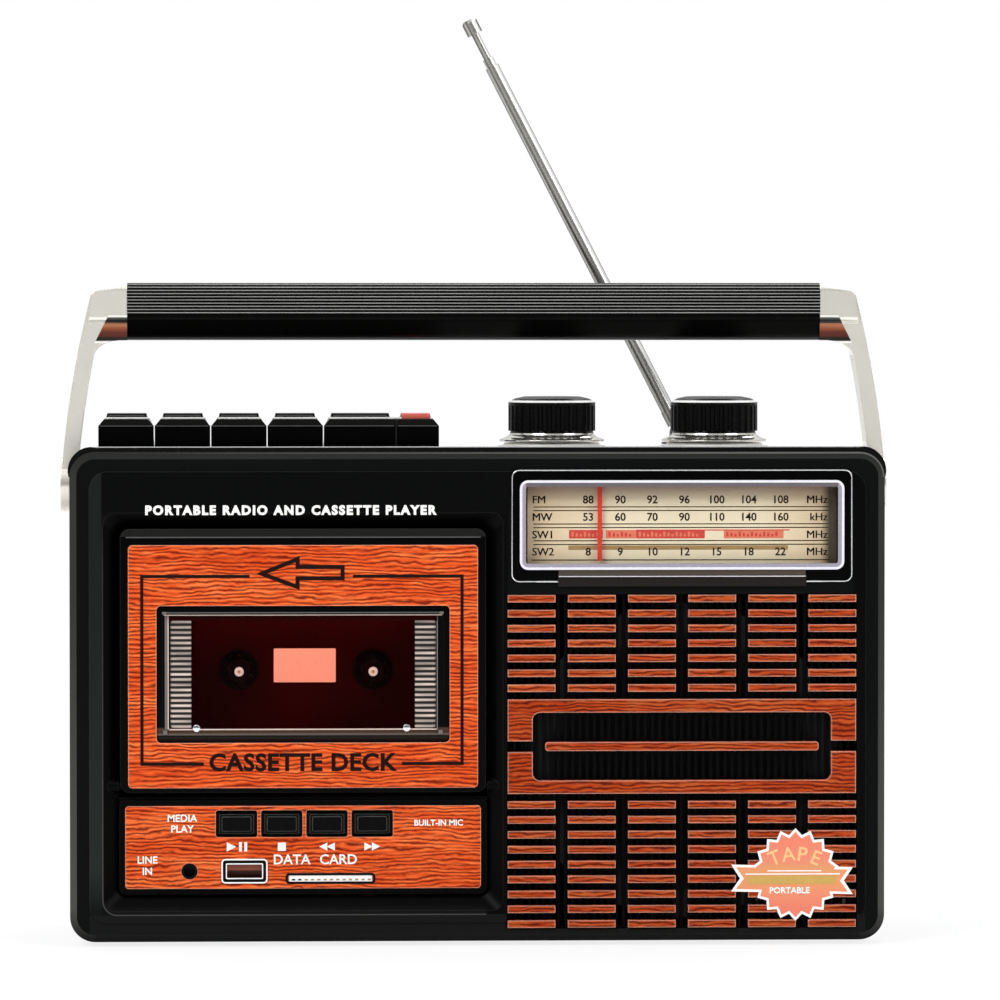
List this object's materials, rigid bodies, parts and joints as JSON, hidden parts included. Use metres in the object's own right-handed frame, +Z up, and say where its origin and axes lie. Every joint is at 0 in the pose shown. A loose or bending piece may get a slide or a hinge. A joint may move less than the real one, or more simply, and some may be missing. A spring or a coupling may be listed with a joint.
{
  "type": "radio cassette player",
  "caption": "Portable radio cassette player in black with wood faces, a hinged cassette door, slotted speaker grille, tuning dial, piano keys, knobs, swing handle and telescopic antenna.",
  "frame": {"origin": "on the floor, under the middle of the cabinet", "axes": "+X to the right as seen from the front, +Y to the rear, +Z up"},
  "size_m": [0.2654, 0.0907, 0.2964],
  "materials": {
    "black_plastic": "satin black moulding",
    "gloss_black": "gloss black",
    "grey_plastic": "dark grey moulding",
    "silver_panel": "bright silver",
    "bright_chrome": "plated",
    "wood_face": "fine horizontal grain",
    "tinted_window": "dark red tint",
    "clear_window": "clear",
    "cream_card": "printed card",
    "red_plastic": "red",
    "sheet_steel": "plated sheet",
    "circuit_board": "varnished board",
    "brass_metal": "turned",
    "rubber_black": "rubber",
    "paper_cone": "pressed paper",
    "ferrite": "ferrite and winding",
    "white_plastic": "white moulding"
  },
  "bodies": {
    "cabinet": {"front_cabinet": "black_plastic", "rear_cabinet": "black_plastic", "top_deck": "silver_panel", "speaker_grille": "black_plastic", "grille_slats": "wood_face", "control_panel": "wood_face", "dial_bezel": "gloss_black", "dial_scale": "cream_card", "dial_lens": "clear_window", "speaker_basket": "sheet_steel", "speaker_cone": "paper_cone", "radio_board": "circuit_board", "tuning_capacitor": "white_plastic", "volume_control": "sheet_steel", "ferrite_aerial": "ferrite", "media_board": "circuit_board", "usb_socket": "bright_chrome", "card_slot": "bright_chrome", "jack_socket": "grey_plastic", "tape_chassis": "sheet_steel", "tape_motor": "sheet_steel", "drive_belt": "rubber_black", "power_transformer": "sheet_steel", "mains_inlet": "grey_plastic", "battery_box": "black_plastic", "battery_contacts": "brass_metal", "cabinet_screws": "sheet_steel"},
    "door": {"door_frame": "gloss_black", "door_wood_panel": "wood_face", "door_window": "tinted_window", "cassette_holder": "grey_plastic"},
    "pause_key": {"pause_key": "gloss_black"},
    "stop_key": {"stop_key": "gloss_black"},
    "forward_key": {"forward_key": "gloss_black"},
    "rewind_key": {"rewind_key": "gloss_black"},
    "play_key": {"play_key": "gloss_black"},
    "record_key": {"record_key": "gloss_black"},
    "head_slide": {"head_plate": "sheet_steel", "tape_heads": "bright_chrome"},
    "pinch_roller": {"pinch_roller": "rubber_black"},
    "supply_spindle": {"supply_spindle": "grey_plastic"},
    "take_up_spindle": {"take_up_spindle": "grey_plastic"},
    "flywheel": {"flywheel": "brass_metal"},
    "motor_pulley": {"motor_pulley": "brass_metal"},
    "volume_knob": {"volume_knob": "gloss_black"},
    "tuning": {"tuning_knob": "gloss_black", "tuning_drum": "white_plastic"},
    "dial_pointer": {"dial_pointer": "red_plastic"},
    "handle": {"handle_grip": "black_plastic", "handle_arms": "bright_chrome"},
    "antenna_base": {"antenna_base": "bright_chrome"},
    "antenna_tube": {"antenna_tube": "bright_chrome"},
    "antenna_section": {"antenna_section": "bright_chrome"},
    "antenna_tip": {"antenna_tip": "bright_chrome"},
    "battery_door": {"battery_door": "black_plastic"},
    "band_switch": {"band_switch": "grey_plastic"},
    "media_button_1": {"media_button_1": "gloss_black"},
    "media_button_2": {"media_button_2": "gloss_black"},
    "media_button_3": {"media_button_3": "gloss_black"},
    "media_button_4": {"media_button_4": "gloss_black"}
  },
  "joints": [
    {"name": "handle_swing", "type": "hinge", "parent": "cabinet", "child": "handle", "pos_m": [0, 0, 0.1447], "axis": [1, 0, 0], "range_deg": [-20, 45]},
    {"name": "antenna_swivel", "type": "hinge", "parent": "cabinet", "child": "antenna_base", "pos_m": [0.069, 0.036, 0.157], "axis": [0, 0, 1], "range_deg": [-180, 0]},
    {"name": "antenna_tilt", "type": "hinge", "parent": "antenna_base", "child": "antenna_tube", "pos_m": [0.069, 0.036, 0.1604], "axis": [0, 1, 0], "range_deg": [-62.8, 27.2]},
    {"name": "antenna_section_slide", "type": "slide", "parent": "antenna_tube", "child": "antenna_section", "axis": [-0.4571, 0, 0.8894], "range_m": [0, 0.11]},
    {"name": "antenna_tip_slide", "type": "slide", "parent": "antenna_section", "child": "antenna_tip", "axis": [-0.4571, 0, 0.8894], "range_m": [0, 0.11]},
    {"name": "door_hinge", "type": "hinge", "parent": "cabinet", "child": "door", "pos_m": [-0.0553, -0.0417, 0.0505], "axis": [1, 0, 0], "range_deg": [0, 35]},
    {"name": "pause_press", "type": "hinge", "parent": "cabinet", "child": "pause_key", "pos_m": [0, 0.004, 0.1495], "axis": [1, 0, 0], "range_deg": [0, 8], "stiffness_Nm_per_rad": 0.02, "springref_deg": -6.88},
    {"name": "stop_press", "type": "hinge", "parent": "cabinet", "child": "stop_key", "pos_m": [0, 0.004, 0.1495], "axis": [1, 0, 0], "range_deg": [0, 8], "stiffness_Nm_per_rad": 0.02, "springref_deg": -6.88},
    {"name": "forward_press", "type": "hinge", "parent": "cabinet", "child": "forward_key", "pos_m": [0, 0.004, 0.1495], "axis": [1, 0, 0], "range_deg": [0, 8], "stiffness_Nm_per_rad": 0.02, "springref_deg": -6.88},
    {"name": "rewind_press", "type": "hinge", "parent": "cabinet", "child": "rewind_key", "pos_m": [0, 0.004, 0.1495], "axis": [1, 0, 0], "range_deg": [0, 8], "stiffness_Nm_per_rad": 0.02, "springref_deg": -6.88},
    {"name": "play_press", "type": "hinge", "parent": "cabinet", "child": "play_key", "pos_m": [0, 0.004, 0.1495], "axis": [1, 0, 0], "range_deg": [0, 8], "stiffness_Nm_per_rad": 0.02, "springref_deg": -6.88},
    {"name": "record_press", "type": "hinge", "parent": "cabinet", "child": "record_key", "pos_m": [0, 0.004, 0.1495], "axis": [1, 0, 0], "range_deg": [0, 8], "stiffness_Nm_per_rad": 0.02, "springref_deg": -6.88},
    {"name": "head_slide_travel", "type": "slide", "parent": "cabinet", "child": "head_slide", "axis": [0, 0, -1], "range_m": [0, 0.008], "stiffness_N_per_m": 5, "springref_m": -0.08},
    {"name": "pinch_roller_spin", "type": "hinge", "parent": "head_slide", "child": "pinch_roller", "pos_m": [-0.086, -0.03, 0.1215], "axis": [0, 1, 0], "continuous": true},
    {"name": "supply_spin", "type": "hinge", "parent": "cabinet", "child": "supply_spindle", "pos_m": [-0.03305, -0.03, 0.0863], "axis": [0, 1, 0], "continuous": true},
    {"name": "take_up_spin", "type": "hinge", "parent": "cabinet", "child": "take_up_spindle", "pos_m": [-0.07555, -0.03, 0.0863], "axis": [0, 1, 0], "continuous": true},
    {"name": "flywheel_spin", "type": "hinge", "parent": "cabinet", "child": "flywheel", "pos_m": [-0.086, -0.015, 0.106], "axis": [0, 1, 0], "continuous": true},
    {"name": "motor_spin", "type": "hinge", "parent": "cabinet", "child": "motor_pulley", "pos_m": [-0.04, -0.015, 0.112], "axis": [0, 1, 0], "continuous": true},
    {"name": "volume_turn", "type": "hinge", "parent": "cabinet", "child": "volume_knob", "pos_m": [0.0251, -0.004, 0.16], "axis": [0, 0, 1], "range_deg": [-150, 150]},
    {"name": "tuning_turn", "type": "hinge", "parent": "cabinet", "child": "tuning", "pos_m": [0.0774, -0.004, 0.16], "axis": [0, 0, 1], "range_deg": [-155.4, 24.6]},
    {"name": "pointer_travel", "type": "slide", "parent": "cabinet", "child": "dial_pointer", "axis": [1, 0, 0], "range_m": [-0.0102, 0.064]},
    {"name": "battery_door_hinge", "type": "hinge", "parent": "cabinet", "child": "battery_door", "pos_m": [0, 0.044, 0.007], "axis": [1, 0, 0], "range_deg": [-80, 0]},
    {"name": "band_select", "type": "slide", "parent": "cabinet", "child": "band_switch", "axis": [0, 1, 0], "range_m": [0, 0.012]},
    {"name": "button_1_press", "type": "slide", "parent": "cabinet", "child": "media_button_1", "axis": [0, 1, 0], "range_m": [0, 0.0008], "stiffness_N_per_m": 30, "springref_m": -0.001},
    {"name": "button_2_press", "type": "slide", "parent": "cabinet", "child": "media_button_2", "axis": [0, 1, 0], "range_m": [0, 0.0008], "stiffness_N_per_m": 30, "springref_m": -0.001},
    {"name": "button_3_press", "type": "slide", "parent": "cabinet", "child": "media_button_3", "axis": [0, 1, 0], "range_m": [0, 0.0008], "stiffness_N_per_m": 30, "springref_m": -0.001},
    {"name": "button_4_press", "type": "slide", "parent": "cabinet", "child": "media_button_4", "axis": [0, 1, 0], "range_m": [0, 0.0008], "stiffness_N_per_m": 30, "springref_m": -0.001}
  ],
  "couplings": [
    {"joint": "play_press", "follows": "head_slide_travel", "rad_per_m": 17.45},
    {"joint": "motor_spin", "follows": "flywheel_spin", "ratio": 4.6},
    {"joint": "pointer_travel", "follows": "tuning_turn", "m_per_rad": -0.02355}
  ]
}
